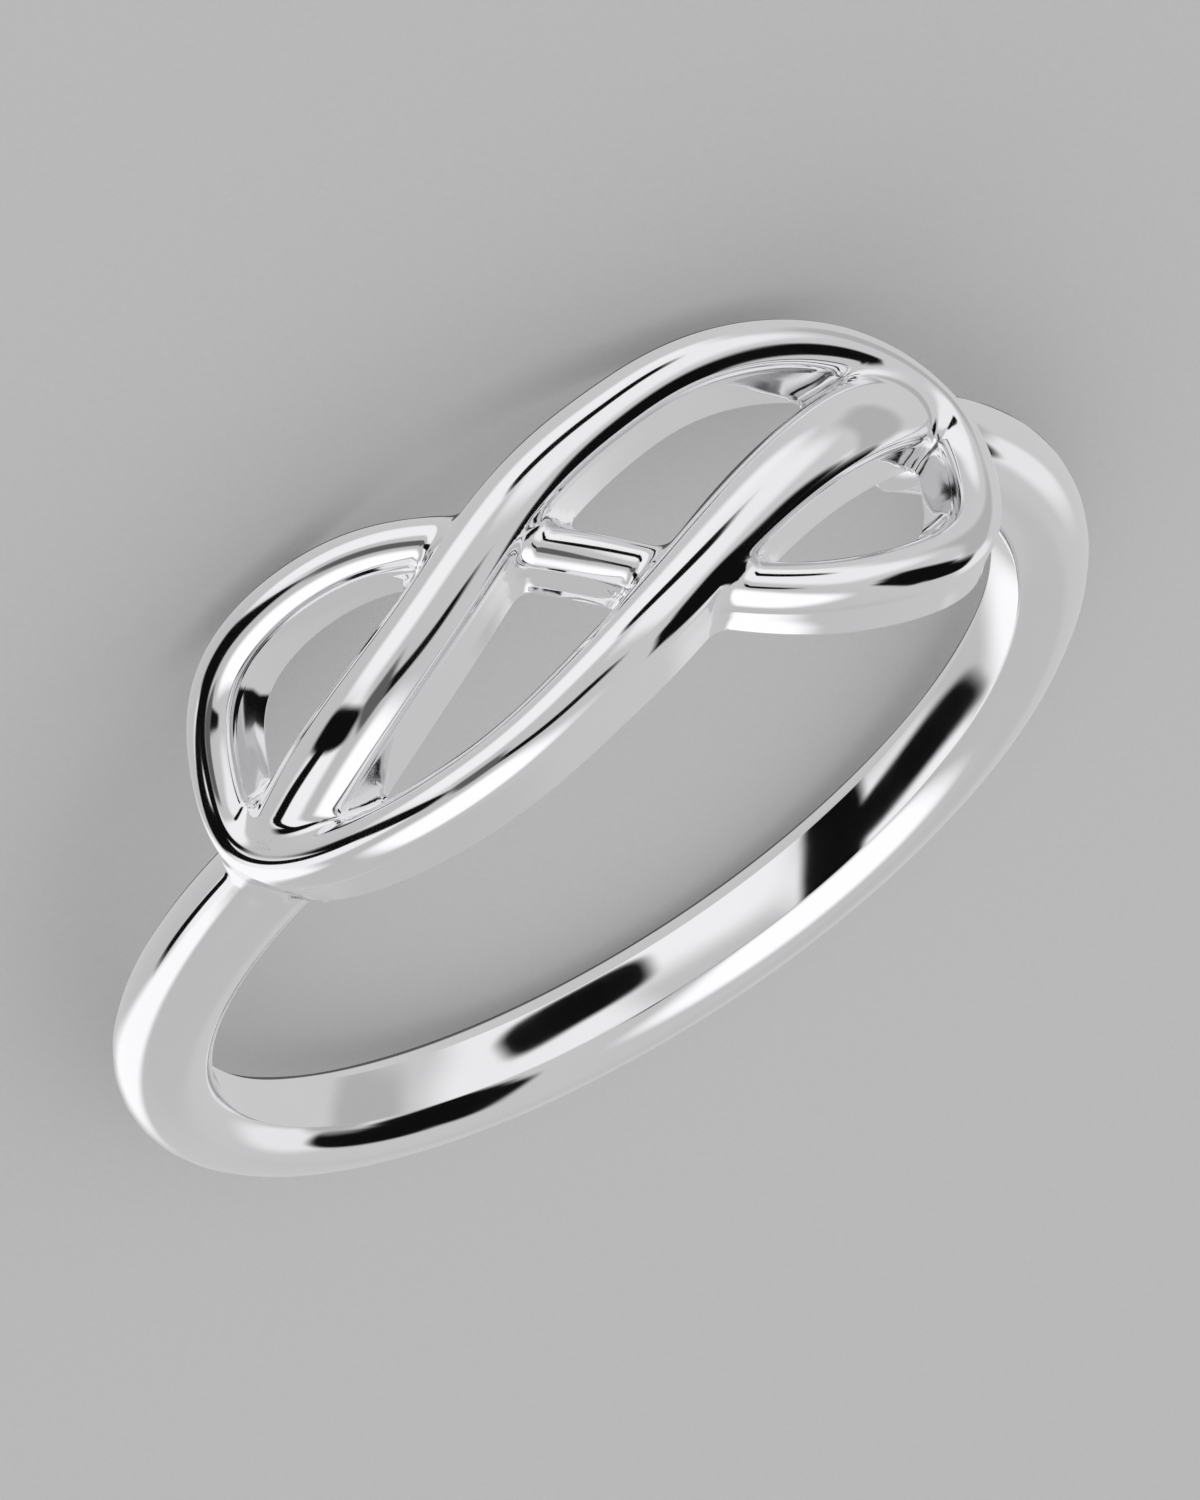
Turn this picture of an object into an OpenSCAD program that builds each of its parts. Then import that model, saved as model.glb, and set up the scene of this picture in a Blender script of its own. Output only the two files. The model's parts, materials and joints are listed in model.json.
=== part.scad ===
// A finger ring whose front is an infinity knot with a doubled diagonal, cast in one piece.
// The ring lies on its side, as it rests by itself, with the knot towards -Y.

/* [Finger hole] */
// Diameter of the finger hole
hole_d = 17.3; // [14:0.1:22]
// Width of the flat wall that touches the finger
flat_w = 1.05; // [0.7:0.05:1.3]

/* [Band] */
// Thickness of the band at the back
band_t = 1.55; // [1.2:0.05:2.4]
// Width of the band at the back
band_w = 1.95; // [1.5:0.05:3]
// Thickness of the band where it meets the knot
shoulder_t = 1.85; // [1.6:0.05:2.6]
// Width of the band where it meets the knot
shoulder_w = 1.65; // [1.5:0.05:2.4]
// How far each end of the band stands off the middle plane
bypass = 1; // [0.3:0.05:1.4]

/* [Knot] */
// Length of the knot along its underside, between the middles of its strand
knot_l = 15.7; // [13:0.1:18]
// Width of the knot, between the middles of its strand
knot_w = 5.5; // [4.6:0.1:7]
// Height of the knot's underside over the finger
knot_gap = 1.1; // [0.6:0.05:1.3]
// Height of the low strand over the underside
strand_h = 1; // [0.8:0.05:1.6]
// How much higher the two strands that cross over it stand
cross_rise = 0.5; // [0.3:0.05:0.7]
// Height of the rounded top of the strand
dome_h = 0.52; // [0.4:0.02:0.7]
// Width of the low strand below its rounded top
strand_w = 0.97; // [0.8:0.01:1.2]
// The same width at the strand's two ends
end_w = 1.75; // [1.3:0.05:1.9]
// How far each side wall leans out towards the underside
wall_lean = 0.17; // [0.05:0.01:0.25]

/* [Hidden] */

// Half of the knot's line, from the end of a high strand round a loop to the middle of the low strand
// along and across: shares of half the knot's length and width; rise: share of cross_rise
half_line = [
    // along, across, rise
    [-0.95, -0.47, -0.3],
    [-0.64, -0.23, 0.9],
    [-0.34, 0.14, 0.55],
    [-0.05, 0.62, 1.1],
    [0.18, 0.84, 0.55],
    [0.42, 1.02, 0.65],
    [0.79, 0.88, 0.55],
    [1.02, 0.35, 0.1],
    [0.95, -0.26, 0.4],
    [0.83, -0.84, 0.3],
    [0.44, -0.91, 0.2],
    [0.18, -0.47, -0.3]
];
// Place on the line where a high strand becomes a loop's low side, in rows
loop_row = 7.5;
// How fast the strand narrows away from its ends
end_power = 4;
// Share of the knot's half length at which each end of the band stops, under the loop
band_end = 0.92;
// Height of the straight edge on each side of the flat wall
edge_t = 0.05;
// How far the band's blank reaches into the hole before the hole is cut
leg_l = 0.5;
// Points along and around each sweep
high_steps = 36;
low_steps = 36;
band_steps = 60;
dome_steps = 8;
band_sides = 16;
hole_sides = 128;
// Share of a row over which the line's direction is taken
look = 0.05;
// Length of the cutter for the finger hole
hole_l = 12;

hole_r = hole_d / 2;
under_r = hole_r + knot_gap;
half_angle = knot_l / 2 / under_r * 180 / PI;
end_angle = band_end * half_angle;
line_rows = concat(half_line, [[0, 0, 0]], [for (i = [len(half_line) - 1 : -1 : 0]) flip(half_line[i])]);
line_end = len(line_rows) - 1;
function flip(row) = [-row[0], -row[1], row[2]];
// A place at a radius, at an angle from -Y, and at a height along the finger
function at(r, angle, h) = [r * sin(angle), -r * cos(angle), h];
function unit(v) = v / norm(v);
function mix(from, to, share) = from + (to - from) * share;

// A smooth line that starts and ends in the first and last of its rows
function weights(v) = [pow(1 - v, 3), 3 * pow(v, 3) - 6 * v * v + 4, 1 + 3 * v + 3 * v * v - 3 * pow(v, 3), pow(v, 3)] / 6;
function row_at(i) = i < 0 ? 2 * line_rows[0] - line_rows[1]
    : i > line_end ? 2 * line_rows[line_end] - line_rows[line_end - 1]
    : line_rows[i];
function line(t) = let (i = min(floor(t), line_end - 1))
    weights(t - i) * [for (k = [-1 : 2]) row_at(i + k)];

// One section of the strand: its rounded top from side to side, then the two corners of its underside
function strand_section(t) = let (
        here = line(t),
        ahead = line(min(t + look, line_end)),
        behind = line(max(t - look, 0)),
        angle = here[0] * half_angle,
        h = here[1] * knot_w / 2,
        top_r = under_r + strand_h + here[2] * cross_rise,
        run = unit([(ahead[0] - behind[0]) * half_angle * PI / 180 * top_r, (ahead[1] - behind[1]) * knot_w / 2]),
        side = [-run[1] * cos(angle), -run[1] * sin(angle), run[0]],
        half_w = mix(strand_w, end_w, pow(1 - 2 * t / line_end, end_power)) / 2
    )
    concat(
        [for (k = [0 : dome_steps]) let (a = 180 * k / dome_steps)
            at(top_r - dome_h * (1 - sin(a)), angle, h) + side * half_w * cos(a)],
        [for (s = [-1, 1]) at(under_r, angle, h) + side * s * (half_w + wall_lean)]
    );

// One section of the band: its rounded outside, then two legs that reach into the hole, which cuts them
function band_section(angle) = let (
        grow = pow((1 + cos(angle)) / (1 + cos(end_angle)), 2),
        t = mix(band_t, shoulder_t, grow),
        w = mix(band_w, shoulder_w, grow),
        mid_h = bypass * cos(angle / 2) / cos(end_angle / 2),
        leg_a = acos(flat_w / w),
        half_t = (t - edge_t) / (1 + sin(leg_a))
    )
    concat(
        [for (k = [0 : band_sides]) let (a = mix(-leg_a, 180 + leg_a, k / band_sides))
            at(hole_r + t - half_t + half_t * sin(a), angle, mid_h + w / 2 * cos(a))],
        [for (s = [-1, 1]) at(hole_r - leg_l, angle, mid_h + s * flat_w / 2)]
    );

function sections_between(from, to, steps) = [for (i = [0 : steps]) strand_section(mix(from, to, i / steps))];
first_high = sections_between(0, loop_row, high_steps);
low = sections_between(loop_row, line_end - loop_row, low_steps);
second_high = sections_between(line_end - loop_row, line_end, high_steps);
band_sections = [for (i = [0 : band_steps]) band_section(mix(end_angle, 360 - end_angle, i / band_steps))];

// The ring rests on three places: the lowest one of each loop, and the lowest one of the band's back
function all_points(sections) = [for (s = sections) each s];
knot_points = all_points(concat(first_high, low, second_high));
ring_points = concat(knot_points, all_points(band_sections));
function lowest(points, up) = let (heights = [for (p = points) p * up]) points[search(min(heights), heights)[0]];
function upright(n) = n[2] < 0 ? -n : n;
function floor_normal(up) = let (
        right = lowest([for (p = knot_points) if (p[0] > 0) p], up),
        left = lowest([for (p = knot_points) if (p[0] < 0) p], up),
        back = lowest([for (p = ring_points) if (p[1] > 0) p], up)
    )
    upright(unit(cross(right - back, left - back)));
up = floor_normal(floor_normal(floor_normal([0, 0, 1])));
east = unit([1, 0, 0] - up[0] * up);
lie = [east, cross(up, east), up];
lain = [for (p = ring_points) lie * p];
function middle(i) = (min([for (p = lain) p[i]]) + max([for (p = lain) p[i]])) / 2;
floor_h = min([for (p = lain) p[2]]);

// Joins sections of equally many points into one closed solid
module sweep(sections) {
    n = len(sections[0]);
    last = (len(sections) - 1) * n;
    walls = [for (i = [0 : len(sections) - 2], j = [0 : n - 1]) let (a = i * n + j, b = i * n + (j + 1) % n)
        each [[a, a + n, b], [b, a + n, b + n]]];
    caps = [[for (j = [0 : n - 1]) j], [for (j = [n : -1 : 1]) last + j % n]];
    polyhedron(all_points(sections), concat(walls, caps));
}

module band() {
    difference() {
        sweep(band_sections);
        cylinder(r = hole_r, h = hole_l, center = true, $fn = hole_sides);
    }
}

module knot() {
    sweep(first_high);
    sweep(low);
    sweep(second_high);
}

module infinity_ring() {
    color([0.86, 0.86, 0.88])
        translate([-middle(0), -middle(1), -floor_h])
            multmatrix(lie) {
                band();
                knot();
            }
}

infinity_ring();
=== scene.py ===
import json
import math
import bmesh
import bpy
import numpy as np
from mathutils import Matrix, Vector
from mathutils.bvhtree import BVHTree
from mathutils.interpolate import poly_3d_calc


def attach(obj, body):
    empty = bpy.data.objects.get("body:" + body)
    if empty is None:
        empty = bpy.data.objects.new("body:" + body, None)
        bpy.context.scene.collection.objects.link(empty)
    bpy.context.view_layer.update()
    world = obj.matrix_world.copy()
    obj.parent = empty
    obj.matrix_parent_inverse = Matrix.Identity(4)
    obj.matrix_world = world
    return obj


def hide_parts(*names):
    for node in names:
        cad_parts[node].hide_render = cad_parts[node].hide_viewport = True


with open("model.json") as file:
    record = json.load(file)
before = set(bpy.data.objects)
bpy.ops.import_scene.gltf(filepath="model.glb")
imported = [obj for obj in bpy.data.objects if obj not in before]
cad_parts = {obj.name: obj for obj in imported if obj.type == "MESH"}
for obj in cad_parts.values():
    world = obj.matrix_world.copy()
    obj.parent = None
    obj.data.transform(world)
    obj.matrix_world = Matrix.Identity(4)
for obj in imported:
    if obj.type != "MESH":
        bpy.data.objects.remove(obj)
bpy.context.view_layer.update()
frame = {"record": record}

mm = 0.001

# the ring is drawn in mm round its finger hole, with the hole upright, and then lies down as the hole does
hole = [m for m in frame["record"]["mounts"] if m["name"] == "finger_hole"][0]
holeAxis = Vector(hole["axis"]).normalized()
alongKnot = Vector((holeAxis.z, 0, -holeAxis.x)).normalized()
awayFromKnot = holeAxis.cross(alongKnot)
lieDown = Matrix((alongKnot, awayFromKnot, holeAxis)).transposed().to_4x4()
lieDown.translation = Vector(hole["pos_m"])
holeRadius = hole["dims"]["r_mm"]
print("finger hole read:", round(holeRadius * 2, 2), "mm across")


def mix(a, b, share):
    return a + (b - a) * share


def mirrored(half, total):
    # half a row of values, up to its middle one, and then the rest, as the total less each of them
    return half + [total - value for value in reversed(half[:-1])]


def around(radius, angle, height):
    # places at a radius from the hole's axis, an angle from the knot's middle and a height along the finger
    return np.stack([radius * np.sin(angle), -radius * np.cos(angle), height], -1)


# knot: one line from the end of a high strand, round both loops, to the end of the other high strand
knot = {
    "length": 15.7,          # along its underside, between the middles of its strand
    "width": 5.5,            # along the finger, between the middles of its strand
    "gap": 1.1,              # its underside over the finger
    "strandHeight": 1.0,     # the low strand over the underside
    "crossRise": 0.5,        # how much higher the two strands that cross over it stand
    "domeHeight": 0.52,      # rounded top
    "strandWidth": 0.97,     # low strand, below its rounded top
    "endWidth": 1.75,        # the strand's two ends
    "endPower": 4,           # how fast the strand narrows away from its ends
    "wallLean": 0.17,        # how far each side wall leans out
    "edgeRound": 0.09,       # worn lower edges
    "roundedEnd": 0.3,       # ends of the strand, inside the loops
    "endLift": 0.09,         # each end levels out where it runs into its loop
    "liftLength": 0.5,       # in rows of the line
    "line": [
        # along, across and rise, as shares of half the length, half the width and crossRise: half of the line
        (-0.95, -0.47, -0.3),
        (-0.64, -0.23, 0.9),
        (-0.34, 0.14, 0.55),
        (-0.05, 0.62, 1.1),
        (0.18, 0.84, 0.55),
        (0.42, 1.02, 0.65),
        (0.79, 0.88, 0.55),
        (1.02, 0.35, 0.1),
        (0.95, -0.26, 0.4),
        (0.83, -0.84, 0.3),
        (0.44, -0.91, 0.2),
        (0.18, -0.47, -0.3),
    ],
    "steps": 560,            # sections along the line
    "look": 0.02,            # rows ahead and behind that give the line's direction
    # where the points of a section lie: degrees round its top and its lower edge, shares of its wall and sole
    "domeAngles": mirrored([0, 1.5, 5, 11, 18, 26, 34, 43, 52, 61, 71, 80, 90], 180),
    "wallShares": [0.04, 0.3, 0.6],
    "edgeAngles": [180, 200, 225, 250, 270],
    "soleShare": 0.4,
}
underRadius = holeRadius + knot["gap"]
halfAngle = knot["length"] / 2 / underRadius
lineEnd = 2 * len(knot["line"])


def knotLine(t):
    # a smooth line past its rows, which t counts; the line's second half is the first one turned half round
    rows = np.array(knot["line"])
    rows = np.vstack([rows, [[0, 0, 0]], (rows * [-1, -1, 1])[::-1]])
    rows = np.vstack([2 * rows[0] - rows[1], rows, 2 * rows[-1] - rows[-2]])
    i = np.minimum(np.floor(t).astype(int), lineEnd - 1)
    v = (t - i)[:, None]
    weights = [(1 - v) ** 3, 3 * v ** 3 - 6 * v ** 2 + 4, 1 + 3 * v + 3 * v ** 2 - 3 * v ** 3, v ** 3]
    return sum(w * rows[i + k] for k, w in enumerate(weights)) / 6


def strandSections(t):
    here = knotLine(t)
    step = knotLine(np.minimum(t + knot["look"], lineEnd)) - knotLine(np.maximum(t - knot["look"], 0))
    angle = here[:, 0] * halfAngle
    height = here[:, 1] * knot["width"] / 2
    top = underRadius + knot["strandHeight"] + here[:, 2] * knot["crossRise"]
    fromEnd = np.minimum(t, lineEnd - t) / knot["liftLength"]
    top += knot["endLift"] * np.clip(1 - fromEnd, 0, 1) ** 2
    run = np.stack([step[:, 0] * halfAngle * top, step[:, 1] * knot["width"] / 2], 1)
    run /= np.linalg.norm(run, axis=1)[:, None]
    side = np.stack([-run[:, 1] * np.cos(angle), -run[:, 1] * np.sin(angle), run[:, 0]], 1)
    half = mix(knot["strandWidth"], knot["endWidth"], np.abs(1 - 2 * t / lineEnd) ** knot["endPower"]) / 2
    dome = knot["domeHeight"]
    foot = top - dome
    lean = knot["wallLean"]
    r = knot["edgeRound"]
    # pairs of across and radius: over the top, down one wall and its worn edge to the sole, and back up
    over = [(half * math.cos(a), foot + dome * math.sin(a)) for a in np.radians(knot["domeAngles"])]
    down = [(-half - lean * share, foot - (foot - underRadius) * share) for share in knot["wallShares"]]
    for a in np.radians(knot["edgeAngles"]):
        down.append((-half - lean + r + r * math.cos(a), underRadius + r + r * math.sin(a)))
    down.append((-knot["soleShare"] * (half + lean - r), underRadius))
    points = over + down + [(-across, radius) for across, radius in reversed(down)]
    return np.stack([around(radius, angle, height) + side * across[:, None] for across, radius in points], 1)


# band: round outside, flat inside, from under one loop round the finger to under the other
band = {
    "thickness": 1.55,           # at the back
    "width": 1.95,
    "shoulderThickness": 1.85,   # where it meets the knot
    "shoulderWidth": 1.65,
    "bypass": 1.0,               # how far each end stands off the middle plane
    "flatWidth": 1.05,           # inside, on the finger
    "crown": 0.025,              # how far the inside is crowned towards the finger
    "endShare": 0.92,            # of the knot's half length, where the band stops
    "roundedEnd": 0.35,
    "endSkew": 0.059,            # each end follows its loop's wall, radians for each mm across
    "skewLength": 0.35,          # radians
    "steps": 420,                # sections along the band
    # where the points of a section lie: shares of its round outside, and of its inside from the middle
    "outsideShares": mirrored([0, 0.015, 0.04, 0.08, 0.13, 0.18, 0.24, 0.3, 0.35, 0.4, 0.45, 0.5], 1),
    "insideShares": mirrored([-0.97, -0.9, -0.75, -0.5, -0.25, 0], 0),
}
endAngle = band["endShare"] * halfAngle


def bandSections(angle):
    grow = ((1 + np.cos(angle)) / (1 + math.cos(endAngle))) ** 2
    thickness = mix(band["thickness"], band["shoulderThickness"], grow)
    width = mix(band["width"], band["shoulderWidth"], grow)
    middle = band["bypass"] * np.cos(angle / 2) / math.cos(endAngle / 2)
    leg = np.arccos(band["flatWidth"] / width)
    half = (thickness - band["crown"]) / (1 + np.sin(leg))
    points = []   # pairs of across and radius, once round the section
    for share in band["outsideShares"]:
        a = mix(-leg, math.pi + leg, share)
        points.append((width / 2 * np.cos(a), holeRadius + thickness - half + half * np.sin(a)))
    for share in band["insideShares"]:
        points.append((band["flatWidth"] / 2 * share, holeRadius + band["crown"] * share ** 2))
    fromEnd = np.minimum(angle - endAngle, 2 * math.pi - endAngle - angle) / band["skewLength"]
    skew = band["endSkew"] * np.clip(1 - fromEnd, 0, 1) ** 2
    return np.stack([around(radius, angle - skew * across, middle + across) for across, radius in points], 1)


tipAngles = [20, 40, 58, 73, 84]   # degrees from the last section to the tip of a rounded end


def withRoundedEnds(sections, length):
    # each end closes like a fingertip
    tips = []
    for end, before in ((sections[0], sections[1]), (sections[-1], sections[-2])):
        middle = end.mean(0)
        run = middle - before.mean(0)
        run *= length / np.linalg.norm(run)
        outline = end - middle
        tips.append([middle + outline * math.cos(a) + run * math.sin(a) for a in np.radians(tipAngles)])
    return np.concatenate([tips[0][::-1], sections, tips[1]])


def skin(rows, n):
    # the faces between neighbouring sections, right side out
    faces = []
    for i in range(rows - 1):
        for j in range(n):
            here = i * n + j
            beside = i * n + (j + 1) % n
            faces.append((here, beside, beside + n, here + n))
    return faces


def sweep(name, sections):
    rows, n = sections.shape[:2]
    ends = [tuple(reversed(range(n))), tuple((rows - 1) * n + j for j in range(n))]
    mesh = bpy.data.meshes.new(name)
    mesh.from_pydata(sections.reshape(-1, 3).tolist(), [], skin(rows, n) + ends)
    mesh.update()
    piece = bpy.data.objects.new(name, mesh)
    bpy.context.scene.collection.objects.link(piece)
    return piece


strand = strandSections(np.linspace(0, lineEnd, knot["steps"] + 1))
strand = withRoundedEnds(strand, knot["roundedEnd"])
shank = bandSections(np.linspace(endAngle, 2 * math.pi - endAngle, band["steps"] + 1))
shank = withRoundedEnds(shank, band["roundedEnd"])
print("strand swept in", len(strand), "sections, band in", len(shank))

strandPiece = sweep("strand", strand)
shankPiece = sweep("shank", shank)
join = strandPiece.modifiers.new("solder", "BOOLEAN")
join.operation = "UNION"
join.object = shankPiece
join.solver = "EXACT"
join.use_self = True
bpy.context.view_layer.update()
joined = bpy.data.meshes.new_from_object(strandPiece.evaluated_get(bpy.context.evaluated_depsgraph_get()))
bpy.data.objects.remove(strandPiece)
bpy.data.objects.remove(shankPiece)
print("joined skin:", len(joined.vertices), "points,", len(joined.polygons), "faces")

# solder: wherever two pieces meet, the skin is drawn out into a small hollow fillet
solder = {
    "reach": 0.28,           # how far from where they meet the pieces run into each other
    "nearby": 1.3,           # a piece counts within this many reaches
    "seam": 0.75,            # a place is on a seam where its second piece is within this many reaches
    "flush": 0.3,            # how unlike two skins face where the fillet between them is a full one
    "underside": 0.7,        # how squarely a skin faces the finger where strands lie flush
    "leastHollow": 0.02,     # what is left of a fillet between skins that lie flush
    "lengths": 6,            # the strand crosses itself, so it is cut into lengths that meet each other
    "weld": 0.004,           # points closer than this become one
    "longEdge": 0.09,        # longer edges within reach are halved
    "rounds": 5,             # steps that bring a point onto the drawn out skin
    "lastRounds": 2,
    "leastFacing": 0.3,      # where skins face opposite ways their blend is shorter, and a point stays put
    "smoothings": 6,
    "slide": 0.6,            # share of the way to the middle of its neighbours that a seam point goes
}
reach = solder["reach"]
bandShell = solder["lengths"]   # the band comes after the strand's lengths in the list of shells


def shell(sections):
    # a skin that tells how far off a place is, and which way it faces there
    rows, n = sections.shape[:2]
    run = np.gradient(sections, axis=0)
    girth = np.roll(sections, -1, axis=1) - np.roll(sections, 1, axis=1)
    facings = np.cross(girth, run)
    facings /= np.linalg.norm(facings, axis=2)[:, :, None]
    points = [Vector(p) for p in sections.reshape(-1, 3)]
    triangles = [t for a, b, c, d in skin(rows, n) for t in ((a, b, c), (a, c, d))]
    return {
        "tree": BVHTree.FromPolygons(points, triangles),
        "triangles": triangles,
        "points": points,
        "facings": [Vector(v) for v in facings.reshape(-1, 3)],
    }


cuts = [round(k * (len(strand) - 1) / solder["lengths"]) for k in range(solder["lengths"] + 1)]
shells = [shell(strand[first:last + 1]) for first, last in zip(cuts, cuts[1:])] + [shell(shank)]


def signed(k, p):
    # how far a place is outside a piece, and which way the piece faces there
    place, _, index, distance = shells[k]["tree"].find_nearest(p)
    corners = shells[k]["triangles"][index]
    shares = poly_3d_calc([shells[k]["points"][c] for c in corners], place)
    facing = sum((shells[k]["facings"][c] * share for c, share in zip(corners, shares)), Vector())
    facing.normalize()
    return math.copysign(distance, (p - place).dot(facing)), facing


def piecesNear(p):
    # the pieces in reach of a place; of two neighbouring lengths of the strand, only the nearer one
    kept = []
    for distance, k in sorted((shells[k]["tree"].find_nearest(p)[3], k) for k in range(len(shells))):
        apart = all(bandShell in (k, other) or abs(k - other) > 1 for other in kept)
        if not kept or distance < solder["nearby"] * reach and apart:
            kept.append(k)
    return sorted(kept)


def fullness(unlike):
    # of a fillet: 1 where the skins are unlike enough, next to nothing where they are alike
    return min(max(unlike / solder["flush"], solder["leastHollow"]), 1)


def blended(near, p):
    # how far a place is outside the drawn out skin, and which way that skin faces
    value, facing = signed(near[0], p)
    for k in near[1:]:
        other, otherFacing = signed(k, p)
        # skins that face the same way lie flush, without a fillet, and so do the undersides of two strands
        hollow = reach * fullness(1 - facing.normalized().dot(otherFacing))
        if k < bandShell:
            under = -(facing if value < other else otherFacing).dot(p.xy.to_3d().normalized())
            hollow *= fullness(solder["underside"] - under)
        share = min(max(0.5 + 0.5 * (value - other) / hollow, 0), 1)
        value = mix(value, other, share) - hollow * share * (1 - share)
        facing = facing.lerp(otherFacing, share)
    return value, facing


def settle(near, p, rounds=1):
    # brings a place onto the drawn out skin
    for _ in range(rounds):
        value, facing = blended(near, p)
        if facing.length < solder["leastFacing"]:
            break
        p = p - facing * (value / facing.length_squared)
    return p


def slideAlong(near, v):
    # moves a point along the skin towards the middle of its neighbours
    facing = blended(near, v.co)[1].normalized()
    away = sum((e.other_vert(v).co for e in v.link_edges), Vector()) / len(v.link_edges) - v.co
    v.co = settle(near, v.co + (away - facing * away.dot(facing)) * solder["slide"])


edit = bmesh.new()
edit.from_mesh(joined)
bmesh.ops.remove_doubles(edit, verts=edit.verts, dist=solder["weld"])
inReach = {v for v in edit.verts if len(piecesNear(v.co)) > 1}
uneven = [f for f in edit.faces if len(f.verts) > 4 or any(v in inReach for v in f.verts)]
bmesh.ops.triangulate(edit, faces=uneven)
longEdges = [e for e in edit.edges if inReach.issuperset(e.verts) and e.calc_length() > solder["longEdge"]]
bmesh.ops.subdivide_edges(edit, edges=longEdges, cuts=1)
bmesh.ops.triangulate(edit, faces=[f for f in edit.faces if len(f.verts) > 4])
edit.verts.index_update()
near = [piecesNear(v.co) for v in edit.verts]
runs = [v for v in edit.verts if len(near[v.index]) > 1]
for v in runs:
    settled = settle(near[v.index], v.co, solder["rounds"])
    if (settled - v.co).length < reach:
        v.co = settled
seam = []
for v in runs:
    distances = sorted(abs(signed(k, v.co)[0]) for k in near[v.index])
    if distances[1] < solder["seam"] * reach:
        seam.append(v)
for _ in range(solder["smoothings"]):
    for v in seam:
        slideAlong(near[v.index], v)
for v in runs:
    v.co = settle(near[v.index], v.co, solder["lastRounds"])
facings = [blended(near[v.index], v.co)[1].normalized() for v in edit.verts]
edit.to_mesh(joined)
edit.free()
print("solder runs drawn out at", len(runs), "points,", len(seam), "of them on a seam")

joined.transform(Matrix.Scale(mm, 4))
joined.transform(lieDown)
for face in joined.polygons:
    face.use_smooth = True
laid = lieDown.to_3x3()
joined.normals_split_custom_set_from_vertices([laid @ v for v in facings])
ring = bpy.data.objects.new("ring", joined)
bpy.context.scene.collection.objects.link(ring)
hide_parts("infinity_ring")
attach(ring, "root")
print("ring laid down")


def wire(nodes, kind, *inputs, **settings):
    # one node, with its inputs set or joined in order
    node = nodes.new(kind)
    for name, value in settings.items():
        setattr(node, name, value)
    for socket, value in zip(node.inputs, inputs):
        if isinstance(value, bpy.types.NodeSocket):
            nodes.id_data.links.new(value, socket)
        elif value is not None:
            socket.default_value = value
    return node


def noise(nodes, where, size, detail):
    # soft spots of about one size
    return wire(nodes, "ShaderNodeTexNoise", where, None, 1 / size, detail).outputs["Fac"]


def paint(nodes, shader, pattern, color, otherColor):
    # one colour where the pattern is dark, the other where it is bright
    links = nodes.id_data.links
    blend = wire(nodes, "ShaderNodeMix", data_type="RGBA")
    links.new(pattern, blend.inputs["Factor"])
    blend.inputs["A"].default_value = (*color, 1)
    blend.inputs["B"].default_value = (*otherColor, 1)
    links.new(blend.outputs["Result"], shader.inputs["Base Color"])


def emboss(nodes, shader, patterns):
    # patterns that stand up from the surface, each on the one before
    links = nodes.id_data.links
    below = None
    for pattern, height in patterns:
        bump = wire(nodes, "ShaderNodeBump")
        bump.inputs["Distance"].default_value = height
        links.new(pattern, bump.inputs["Height"])
        if below is not None:
            links.new(below, bump.inputs["Normal"])
        below = bump.outputs["Normal"]
    links.new(below, shader.inputs["Normal"])


def newMaterial(name):
    material = bpy.data.materials.new(name)
    material.use_nodes = True
    nodes = material.node_tree.nodes
    return material, nodes, nodes["Principled BSDF"], nodes.new("ShaderNodeTexCoord").outputs["Object"]


# metal: white, mirror polished by hand, with the faint waves and hairlines that a buffing wheel leaves
metal = {
    "color": (0.9, 0.9, 0.905),
    "dulled": (0.86, 0.86, 0.868),
    "roughness": (0.035, 0.085),     # from polished to dulled
    "cloudSize": 2.2 * mm,           # patches that took the polish differently
    "cloudDetail": 3,
    "cloudSpan": (0.35, 0.7),        # the values of the clouds between which polished turns to dulled
    "waveSize": 1.4 * mm,
    "waveDetail": 1,
    "waveHeight": 0.0008 * mm,
    "hairlineSize": 0.05 * mm,
    "hairlineDetail": 2,
    "hairlineStretch": 9,            # hairlines run round the finger
    "hairlineHeight": 0.00004 * mm,
}


def polishedMetal():
    material, nodes, shader, where = newMaterial("polishedMetal")
    shader.inputs["Metallic"].default_value = 1
    clouds = noise(nodes, where, metal["cloudSize"], metal["cloudDetail"])
    waves = noise(nodes, where, metal["waveSize"], metal["waveDetail"])
    fine = 1 / metal["hairlineSize"]
    drawn = fine / metal["hairlineStretch"]
    stretched = wire(nodes, "ShaderNodeMapping", where, None, None, (drawn, drawn, fine)).outputs[0]
    hairlines = noise(nodes, stretched, 1, metal["hairlineDetail"])
    paint(nodes, shader, clouds, metal["color"], metal["dulled"])
    rough = wire(nodes, "ShaderNodeMapRange", clouds, *metal["cloudSpan"], *metal["roughness"])
    nodes.id_data.links.new(rough.outputs[0], shader.inputs["Roughness"])
    emboss(nodes, shader, [(waves, metal["waveHeight"]), (hairlines, metal["hairlineHeight"])])
    return material


joined.materials.clear()
joined.materials.append(polishedMetal())
print("metal polished")

# floor: pale matt paper
paper = {
    "color": (0.52, 0.52, 0.52),
    "shade": (0.49, 0.49, 0.492),
    "roughness": 0.9,
    "grain": 0.15 * mm,
    "grainDetail": 3,
    "grainHeight": 0.01 * mm,
    "halfSide": 2000 * mm,
}


def mattPaper():
    material, nodes, shader, where = newMaterial("mattPaper")
    shader.inputs["Roughness"].default_value = paper["roughness"]
    grain = noise(nodes, where, paper["grain"], paper["grainDetail"])
    paint(nodes, shader, grain, paper["color"], paper["shade"])
    emboss(nodes, shader, [(grain, paper["grainHeight"])])
    return material


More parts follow.
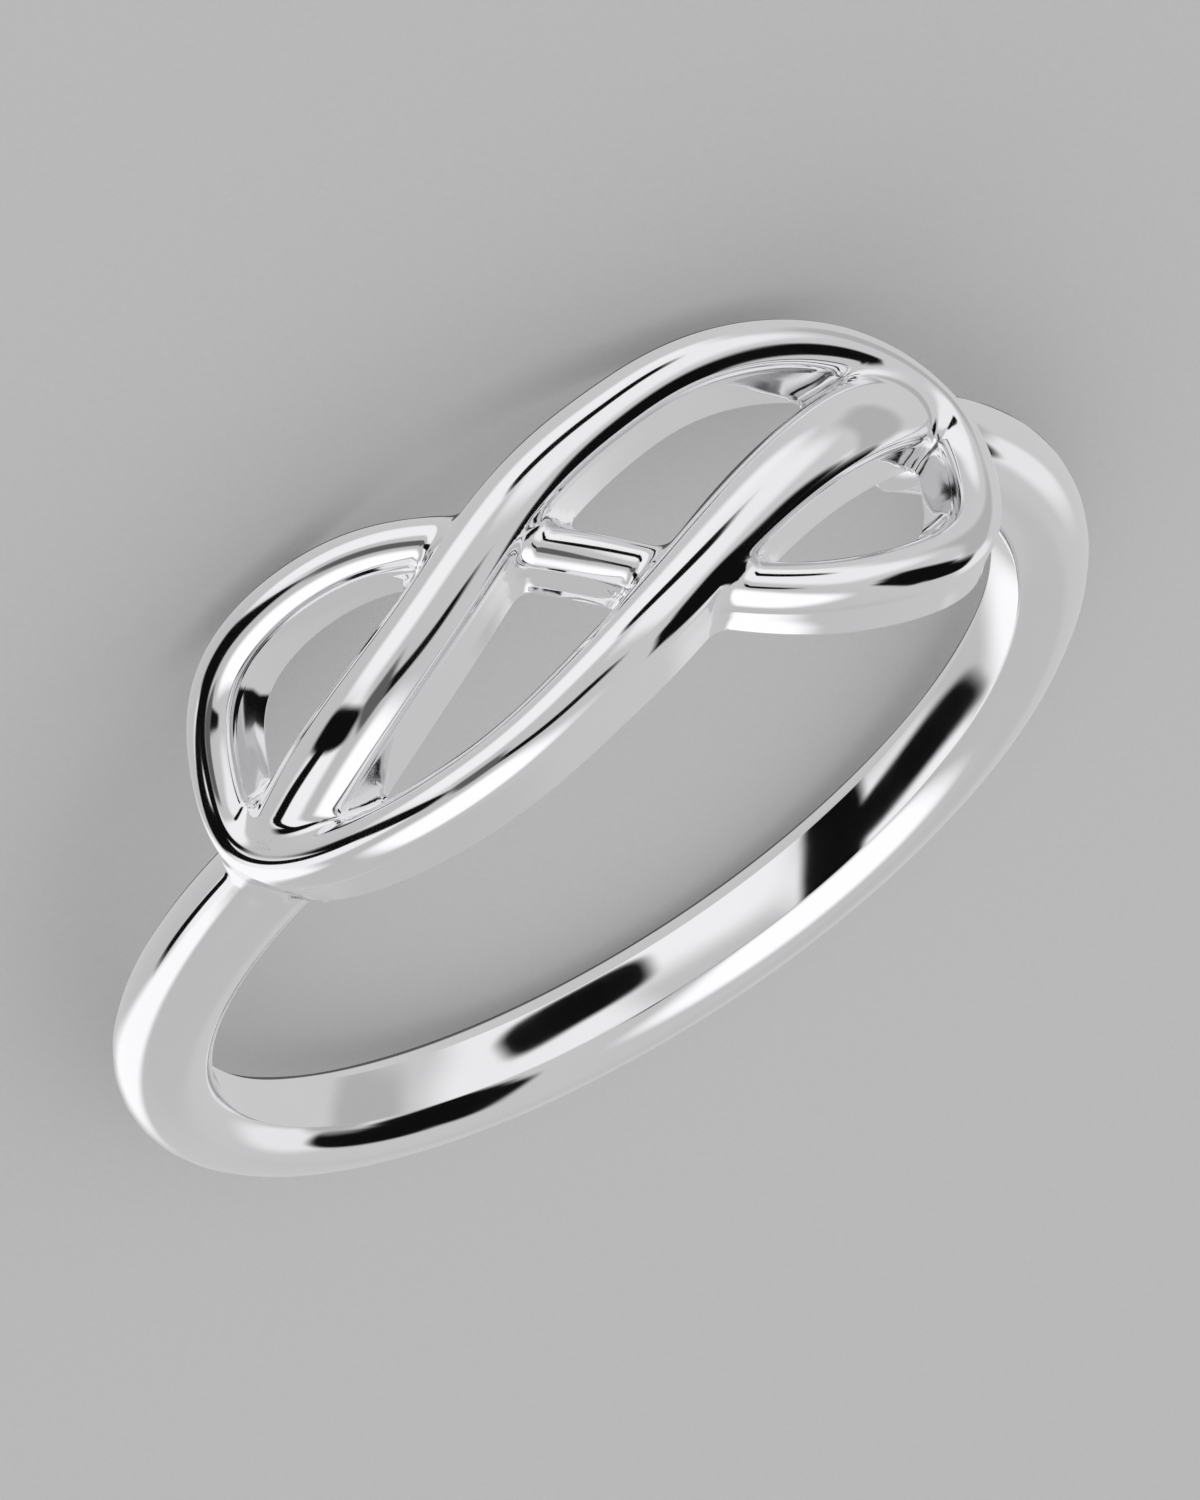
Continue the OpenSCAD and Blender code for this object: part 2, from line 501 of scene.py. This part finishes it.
half = paper["halfSide"]
corners = [(-half, -half, 0), (half, -half, 0), (half, half, 0), (-half, half, 0)]
floorMesh = bpy.data.meshes.new("floor")
floorMesh.from_pydata(corners, [], [(0, 1, 2, 3)])
floorMesh.materials.append(mattPaper())
floor = bpy.data.objects.new("floor", floorMesh)
bpy.context.scene.collection.objects.link(floor)
floor.visible_glossy = False       # the metal mirrors the tent all round, the paper only carries the ring
print("paper laid")

# studio: a pale tent with soft boxes and dark flags round the ring
studio = {
    "tent": 0.6,
    "tentLean": (-0.05, 0, -0.01),     # a little more light from one side
    "tint": (1, 0.995, 1.005),
    "onPaper": 0.95,                   # the tent's even light on the floor
    "corners": 4,                      # how square the cards' corners are, 2 for an oval
    "edgeOn": 0.001,                   # a look has to go at least this much towards a card to meet it
    "cards": [
        # name, azimuth, elevation, half width, half height, turn, brightness, softness
        ("overhead box", -114, 64, 0.6, 0.6, 26, 1.13, 0.3),
        ("right fill", -108, -11, 0.7, 0.32, 12, 0.97, 0.3),
        ("front fill", 177, -35, 0.95, 0.4, 0, 0.97, 0.28),
        ("far right fill", -50, -10, 0.92, 0.27, 26, 1.08, 0.3),
        ("left front fill", 145, -1, 0.55, 0.5, -48, 0.93, 0.3),
        ("left back fill", 61, 20, 0.23, 0.5, 73, 0.88, 0.3),
        ("left flag", 65, 33, 0.24, 0.23, 27, 0.005, 0.16),
        ("high left flag", 89, 49, 0.37, 0.17, 0, 0.005, 0.2),
        ("front left flag", 99, 36, 0.34, 0.22, 0, 0.005, 0.25),
        ("camera", -170, 28, 0.4, 0.08, 34, 0.005, 0.3),
        ("low right flag", -96, -23, 0.6, 0.09, 11, 0.005, 0.2),
        ("right flag", -129, -14, 0.15, 0.5, -26, 0.005, 0.2),
        ("low left flag", 17, -43, 0.14, 0.26, -6, 0.1, 0.26),
        ("low front flag", 159, -18, 0.37, 0.11, 4, 0.005, 0.16),
        ("left shade", 87, -3, 0.2, 0.57, -33, 0.48, 0.3),
        ("back shade", -16, 28, 0.53, 0.36, -16, 0.56, 0.3),
        ("front shade", -152, 13, 0.15, 0.21, 5, 0.12, 0.3),
    ],
}
world = bpy.data.worlds.new("studio")
bpy.context.scene.world = world
world.use_nodes = True
world.cycles.sampling_method = "NONE"
air, airLinks = world.node_tree.nodes, world.node_tree.links
lookAt = air.new("ShaderNodeTexCoord").outputs["Generated"]


def calc(operation, *inputs):
    return wire(air, "ShaderNodeMath", *inputs, operation=operation).outputs[0]


def lookAlong(vector):
    # how far a look from the ring goes along a vector
    return wire(air, "ShaderNodeVectorMath", lookAt, tuple(vector), operation="DOT_PRODUCT").outputs["Value"]


def cardShape(azimuth, elevation, halfWidth, halfHeight, turn, softness):
    # where a card stands, seen from the ring: 1 on it, 0 off it
    a, e, t = (math.radians(v) for v in (azimuth, elevation, turn))
    towards = Vector((-math.sin(a) * math.cos(e), math.cos(a) * math.cos(e), math.sin(e)))
    right = Vector((math.cos(a), math.sin(a), 0))
    up = right.cross(towards)
    across = right * math.cos(t) + up * math.sin(t)
    upward = up * math.cos(t) - right * math.sin(t)
    ahead = lookAlong(towards)
    depth = calc("MAXIMUM", ahead, studio["edgeOn"])
    u = calc("POWER", calc("DIVIDE", lookAlong(across / halfWidth), depth), studio["corners"])
    v = calc("POWER", calc("DIVIDE", lookAlong(upward / halfHeight), depth), studio["corners"])
    rim = calc("POWER", calc("ADD", u, v), 1 / studio["corners"])
    fade = wire(air, "ShaderNodeMapRange", rim, 1 + softness, 1 - softness, interpolation_type="SMOOTHSTEP")
    return calc("MULTIPLY", fade.outputs[0], calc("GREATER_THAN", ahead, studio["edgeOn"]))


glow = calc("ADD", lookAlong(studio["tentLean"]), studio["tent"])
for name, azimuth, elevation, halfWidth, halfHeight, turn, brightness, softness in studio["cards"]:
    shape = cardShape(azimuth, elevation, halfWidth, halfHeight, turn, softness)
    glow = calc("ADD", glow, calc("MULTIPLY", shape, calc("SUBTRACT", brightness, glow)))
    glow.node.label = name
mirroredLight = air["Background"]
mirroredLight.inputs["Color"].default_value = (*studio["tint"], 1)
airLinks.new(glow, mirroredLight.inputs["Strength"])
evenLight = wire(air, "ShaderNodeBackground", (*studio["tint"], 1), studio["onPaper"])
path = air.new("ShaderNodeLightPath").outputs["Is Diffuse Ray"]
both = wire(air, "ShaderNodeMixShader", path, mirroredLight.outputs[0], evenLight.outputs[0])
airLinks.new(both.outputs[0], air["World Output"].inputs["Surface"])
print("studio hung with", len(studio["cards"]), "cards")

# camera: in front of the knot and over the floor, rolled until the knot is at the upper left
view = {
    "aim": (-0.37, 0.095, 1.36),   # mm
    "azimuth": 12.86,
    "elevation": 28.89,
    "roll": 146.13,
    "distance": 255.0,             # mm
    "lens": 336.4,
    "filmHeight": 36,
    "nearest": 10 * mm,
}


def turned(degrees, axis):
    return Matrix.Rotation(math.radians(degrees), 4, axis)


cameraData = bpy.data.cameras.new("camera")
cameraData.sensor_fit = "VERTICAL"
cameraData.sensor_height = view["filmHeight"]
cameraData.lens = view["lens"]
cameraData.clip_start = view["nearest"]
camera = bpy.data.objects.new("camera", cameraData)
bpy.context.scene.collection.objects.link(camera)
aimed = turned(view["azimuth"], "Z") @ turned(90 - view["elevation"], "X") @ turned(view["roll"], "Z")
backedOff = Matrix.Translation((0, 0, view["distance"] * mm))
camera.matrix_world = Matrix.Translation(Vector(view["aim"]) * mm) @ aimed @ backedOff
bpy.context.scene.camera = camera
bpy.context.scene.view_settings.view_transform = "Standard"
print("camera aimed")
